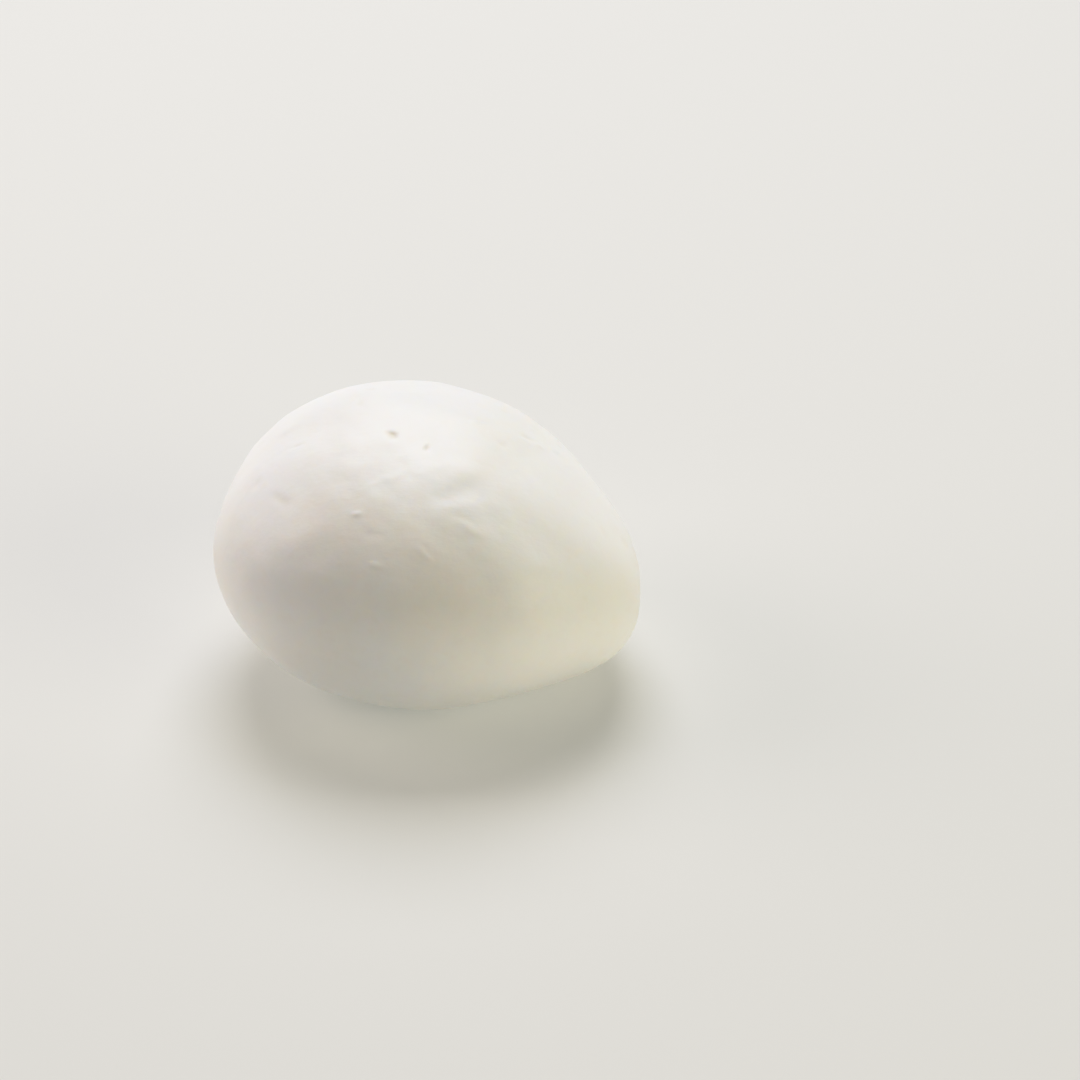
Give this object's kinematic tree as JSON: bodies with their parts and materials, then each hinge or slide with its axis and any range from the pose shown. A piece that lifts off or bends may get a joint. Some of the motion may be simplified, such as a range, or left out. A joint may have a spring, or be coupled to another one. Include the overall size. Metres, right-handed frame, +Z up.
{
  "type": "mozzarella ball",
  "caption": "Whole fresh mozzarella ball, soft, moist and white, sagging a little under its own weight on a small flat foot.",
  "frame": {"origin": "middle of the ball's outline in plan, on the surface it rests on", "axes": "+Z up, +X to the right along the longer side as seen from the front, and the front of the ball faces -Y"},
  "size_m": [0.0902, 0.084, 0.0582],
  "materials": {
    "curd": "satin"
  },
  "bodies": {
    "root": {"mozzarella_ball": "curd"}
  },
  "joints": []
}
